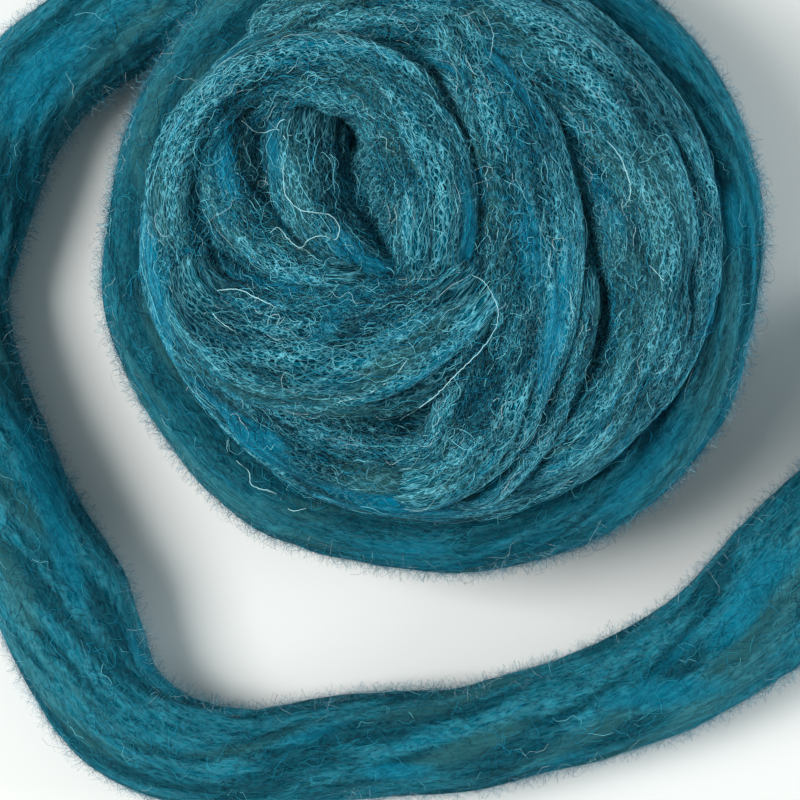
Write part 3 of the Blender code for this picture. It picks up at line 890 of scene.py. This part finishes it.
def grow(skin, others, count, growth, draw):
    """Fibres along a strand, where no other strand covers them.

    Returns their points, normals, widths and tones, and the row of the skin that each is rooted in.
    """
    rows, columns = skin.places.shape[:2]
    pick = int(count * 3.5) + 50
    row = draw.uniform(0.0, rows - 1.0, pick)
    column = draw.uniform(0.0, columns, pick)
    long_steps = np.gradient(skin.places, axis=0)
    round_steps = 0.5 * (np.roll(skin.places, -1, axis=1) - np.roll(skin.places, 1, axis=1))
    normal = unit(read_grid(skin.normals, row, column))
    wide = np.linalg.norm(read_grid(round_steps, row, column), axis=1)
    area = np.linalg.norm(read_grid(long_steps, row, column), axis=1) * wide
    chance = chance_of(growth.facing, normal)
    keep = draw.random(pick) < area / np.percentile(area, 97) * chance
    row, column = row[keep], column[keep]
    place = read_grid(skin.places, row, column)
    covered = np.zeros(len(row), dtype=bool)
    for other in others:
        covered |= inside(place, other, 0.4)
    row, column, wide = (each[~covered][:count] for each in (row, column, wide[keep]))
    many = len(row)
    length, angle = wander(growth, many, draw)
    angle = angle + math.pi * (draw.random((many, 1)) < 0.5)
    step = (length / (growth.points - 1))[:, None]
    along = np.cumsum(np.cos(angle) * step, axis=1) / (skin.length / (rows - 1))
    aside = np.cumsum(np.sin(angle) * step, axis=1) / np.maximum(wide, 0.15)[:, None]
    at_row = row[:, None] + along - along[:, :1]
    at_column = column[:, None] + aside - aside[:, :1]
    normals = unit(read_grid(skin.normals, at_row, at_column))
    rise, width = rise_of(growth, many, draw)
    points = read_grid(skin.places, at_row, at_column) + normals * rise[..., None]
    tones = tones_for(read_grid(skin.wool, row, column), growth, draw)
    within = (at_row.min(axis=1) > 0.0) & (at_row.max(axis=1) < rows - 1.0)
    return points[within], normals[within], width[within], tones[within], row[within]


# A drifting fibre that would drop further than this between two of its points is left out.
STEEPEST_STEP = 3.0


def drift(cover, reach, count, growth, draw):
    """Fibres over the ball's top and across its creases, which drift the way that its wool runs."""
    radius, turn = reach * np.sqrt(draw.random(count)), draw.uniform(0.0, 2.0 * math.pi, count)
    spot = np.stack((radius * np.cos(turn), radius * np.sin(turn)), axis=1)
    length, stray = wander(growth, count, draw)
    flow = cover.heading(spot) + math.pi * (draw.random(count) < 0.5)
    wool = cover.read(cover.wool, spot)
    spots = [spot]
    for number in range(1, growth.points):
        change = cover.heading(spot) - flow
        flow = flow + change - math.pi * np.round(change / math.pi)
        angle = flow + stray[:, number]
        step = (length / (growth.points - 1))[:, None]
        spot = spot + step * np.stack((np.cos(angle), np.sin(angle)), axis=1)
        spots.append(spot)
    spots = np.stack(spots, axis=1)
    rise, width = rise_of(growth, count, draw)
    height = cover.read(cover.height, spots) + rise[..., None]
    points = np.concatenate((spots, height), axis=-1)
    lies = np.abs(np.diff(height[..., 0], axis=1)).max(axis=1) < STEEPEST_STEP
    fibres = (points, cover.normals(spots), width, tones_for(wool, growth, draw))
    return tuple(column[lies] for column in fibres)


# Long pale fibres that stand out in the photograph: where each runs on the plan, in millimetres.
STRAY_FIBRES = (
    (
        (-28.6, 12.7), (-28.7, 9.9), (-28.3, 6.7), (-25.3, 3.7), (-20.2, 2.8), (-18.3, 0.5),
        (-18.9, -1.7), (-21.5, -1.0), (-23.9, -1.7), (-25.3, -3.2), (-27.1, -2.3), (-29.6, 0.5),
        (-31.1, -0.4),
    ),
    ((-36.5, 20.7), (-33.7, 18.7), (-30.1, 19.2), (-25.8, 21.7)),
    ((-32.9, 21.5), (-30.1, 19.2), (-28.6, 17.5), (-27.7, 15.6)),
    ((-30.1, 19.2), (-27.2, 17.6), (-26.9, 19.8), (-29.4, 20.6), (-30.6, 17.2)),
    (
        (3.2, -7.9), (7.9, -9.4), (10.7, -14.5), (10.3, -18.2), (7.9, -21.9), (3.2, -26.6),
        (-1.5, -31.3), (-7.1, -35.0),
    ),
    ((-19.3, -31.9), (-13.1, -30.2), (-8.4, -27.2), (-5.4, -23.3)),
    ((-44.0, -15.8), (-42.1, -15.0), (-40.2, -16.9), (-37.6, -18.6)),
    ((-31.4, -17.6), (-30.9, -15.9), (-29.2, -15.8), (-29.6, -17.6), (-28.0, -16.0)),
    ((-40.8, -11.1), (-37.0, -11.0), (-33.3, -12.6), (-29.6, -14.5)),
    (
        (-40.9, -39.1), (-40.5, -42.0), (-36.8, -45.1), (-36.0, -48.0), (-31.5, -49.5), (-28.6, -52.8),
        (-25.5, -52.5),
    ),
    ((31.1, 16.4), (33.9, 12.6), (35.3, 6.9), (33.9, 4.0)),
    ((38.8, -6.4), (41.7, -9.3), (44.2, -12.2)),
    ((8.1, 40.8), (10.0, 36.1), (9.4, 31.3)),
)
STRAY_STEP, STRAY_WIDTH, STRAY_LOW, STRAY_LIFT = 0.5, 0.16, 0.9, 1.4


def stray(route, cover, draw):
    """One long fibre along its route, lying loosely on the ball."""
    flat = smooth_route(np.array([(x, y, 0.0) for x, y in route]))
    line, _ = even(flat, STRAY_STEP)
    spots = line[None, :, :2] + draw.normal(0.0, 0.05, (1, len(line), 2))
    at = np.linspace(0.0, 1.0, len(line))[None, :]
    lift = STRAY_LOW + STRAY_LIFT * np.sin(math.pi * at) ** 0.5 * (0.7 + 0.3 * np.sin(9.0 * at))
    ground = cover.read(cover.height, spots)
    height = ground + lift[..., None]
    for _ in range(3):
        height[:, 1:-1] = 0.5 * height[:, 1:-1] + 0.25 * (height[:, 2:] + height[:, :-2])
    points = np.concatenate((spots, np.maximum(height, ground + STRAY_LOW)), axis=-1)
    width = STRAY_WIDTH * (1.0 - 0.5 * np.abs(2.0 * at - 1.0) ** 4)
    palest = np.array((len(TONES) - 1,))
    return points, cover.normals(spots), width, palest


def ribbons(name, batches, materials, draw):
    """One mesh of flat fibres, from batches of their points, normals, widths and tones."""
    coordinates, faces, tones = [], [], []
    total = 0
    for points, normals, width, tone, *_ in batches:
        many, long = points.shape[:2]
        along = unit(np.gradient(points, axis=1))
        aside = unit(np.cross(normals, along))
        roll = draw.uniform(-0.9, 0.9, (many, 1, 1))
        aside = unit(aside * np.cos(roll) + normals * np.sin(roll))
        half = 0.5 * width[..., None] * aside
        both = np.stack((points - half, points + half), axis=2).reshape(-1, 3)
        coordinates.append(both)
        first = total + (np.arange(many) * long * 2)[:, None] + (np.arange(long - 1) * 2)[None, :]
        faces.append(np.stack((first, first + 1, first + 3, first + 2), axis=-1).reshape(-1, 4))
        tones.append(np.repeat(tone, long - 1))
        total += many * long * 2
    coordinates = np.concatenate(coordinates)
    coordinates[:, 2] = np.maximum(coordinates[:, 2], 0.5 * FLOOR_CLEAR)
    faces = np.concatenate(faces)
    mesh = bpy.data.meshes.new(name)
    mesh.from_pydata((coordinates * MM).tolist(), [], faces.tolist())
    mesh.polygons.foreach_set("material_index", np.concatenate(tones).astype(np.int32))
    mesh.shade_smooth()
    return add_piece(name, mesh, *materials)


# === Building ===

# How many fibres of each sort there are on the ball's strands, over its top, and on the last turn
# and the loose end together. A strand has its share of them by its size, and less where it is hidden.
ON_STRANDS = ((UNDER_HAIR, 5000), (TOP_HAIR, 19000), (FUZZ, 1200))
OVER_TOP = ((DRIFTING_HAIR, 11500), (LONG_HAIR, 1500))
ON_LAST_TURN = (("fibres", SOFT_HAIR, 11000), ("fuzz", FUZZ, 3500), ("haze", HAZE, 80000))
SEEN_SHARE = {"under_ring": 0.25}
TOP_REACH = 54.0

# The seeds of the skins and of the fibres, and how far apart the skins' grain starts.
FIRST_SEED, LAST_SEED, FIBRE_SEED = 11, 90, 7
GRAIN_SHIFT = 170.0


def declare(piece, *nodes, slot="roving"):
    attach(piece, "root")
    if nodes:
        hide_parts(*nodes)


def add_loose_end(skin, grain_start):
    piece = add_skin(skin, skin_wool("loose_wool", SOFT), grain_start)
    declare(piece, "tail", slot="loose_roving")


def main():
    add_camera()
    strand, joint = last_strand()
    whole_skin = skin_of(strand, LAST_SEED, relief=SOFT_RELIEF)
    dye_and_paint_shade(whole_skin)
    last_skin = rows_of("last_turn", whole_skin, 0, joint)
    loose_skin = rows_of("loose_end", whole_skin, joint, len(whole_skin.places) - 1)
    add_loose_end(loose_skin, last_skin.length)

    strands = [ring_strand(ring) for ring in RINGS]
    strands += [turn_strand(turn) for turn in TURNS + SLIM_TURNS]
    skins = [skin_of(each, seed, SQUARENESS) for seed, each in enumerate(strands, FIRST_SEED)]
    last_part = Strand("last_turn", *(part[: joint + 1] for part in strand[1:]))
    for skin in skins:
        dye_and_paint_shade(skin)
    cover = Cover(skins + [last_skin])
    for skin in skins + [last_skin]:
        paint_crease_shade(skin, cover)
    paint_inner_side_shade(last_skin)

    wool = skin_wool("wound_wool", CRISP)
    for number, skin in enumerate(skins):
        declare(add_skin(skin, wool, GRAIN_SHIFT * number), "ball")
    declare(add_skin(web_skin(cover), wool, tube=False), "ball")
    declare(add_skin(core_skin(), wool), "ball")
    declare(add_skin(last_skin, skin_wool("last_wool", SOFT)), "ball")

    fibres = [fibre_wool(tone) for tone in TONES]
    draw = np.random.default_rng(FIBRE_SEED)
    sizes = [skin.length * skin.round_size * SEEN_SHARE.get(skin.name, 1.0) for skin in skins]
    for skin, size in zip(skins, sizes):
        others = [other for other in strands + [last_part] if other.name != skin.name]
        batches = []
        for growth, count in ON_STRANDS:
            count = int(count * size / sum(sizes))
            batches.append(grow(skin, others, count, growth, draw))
        declare(ribbons("fibres_" + skin.name, batches, fibres, draw))
    batches = [drift(cover, TOP_REACH, count, growth, draw) for growth, count in OVER_TOP]
    batches += [stray(route, cover, draw) for route in STRAY_FIBRES]
    declare(ribbons("fibres_over_top", batches, fibres, draw))
    for name, growth, count in ON_LAST_TURN:
        batch = grow(whole_skin, strands, count, growth, draw)
        loose = batch[-1] >= joint
        parts = (("last_turn", ~loose, "roving"), ("loose_end", loose, "loose_roving"))
        for part, chosen, slot in parts:
            chosen_batch = tuple(column[chosen] for column in batch)
            declare(ribbons(name + "_" + part, [chosen_batch], fibres, draw), slot=slot)


# === The floor and the light, in metres ===

FLOOR_COLOUR = (0.93, 0.94, 0.925, 1.0)
FLOOR_REACH = 3.0
ROOM_COLOUR, ROOM_STRENGTH = (0.90, 0.985, 1.0, 1.0), 0.30

# A large soft light on the left and a weak low one on the right: where each stands, what it points
# at, its size, its power and its colour.
LAMPS = (
    ("key", (-0.72, -0.02, 0.84), (0.0, -0.02, 0.02), 0.55, 11.7, (1.0, 0.985, 0.96)),
    ("low_fill", (1.0, -0.05, 0.24), (0.0, 0.0, 0.04), 0.4, 7.5, (0.95, 0.99, 1.0)),
)


def add_floor():
    material, _ = new_material("pale_floor", Base_Color=FLOOR_COLOUR, Roughness=0.8)
    mesh = bpy.data.meshes.new("floor")
    quarters = ((-1, -1), (1, -1), (1, 1), (-1, 1))
    corners = [(x * FLOOR_REACH, y * FLOOR_REACH, 0.0) for x, y in quarters]
    mesh.from_pydata(corners, [], [(0, 1, 2, 3)])
    floor = add_piece("floor", mesh, material)


def add_light():
    scene = bpy.context.scene
    scene.view_settings.view_transform = "Standard"
    scene.world = bpy.data.worlds.new("world")
    scene.world.use_nodes = True
    room = scene.world.node_tree.nodes["Background"]
    room.inputs["Color"].default_value = ROOM_COLOUR
    room.inputs["Strength"].default_value = ROOM_STRENGTH
    for name, place, aim, *traits in LAMPS:
        data = bpy.data.lights.new(name, "AREA")
        data.size, data.energy, data.color = traits
        lamp = bpy.data.objects.new(name, data)
        lamp.location = place
        lamp.rotation_euler = (Vector(aim) - Vector(place)).to_track_quat("-Z", "Y").to_euler()
        scene.collection.objects.link(lamp)


main()
add_floor()
add_light()
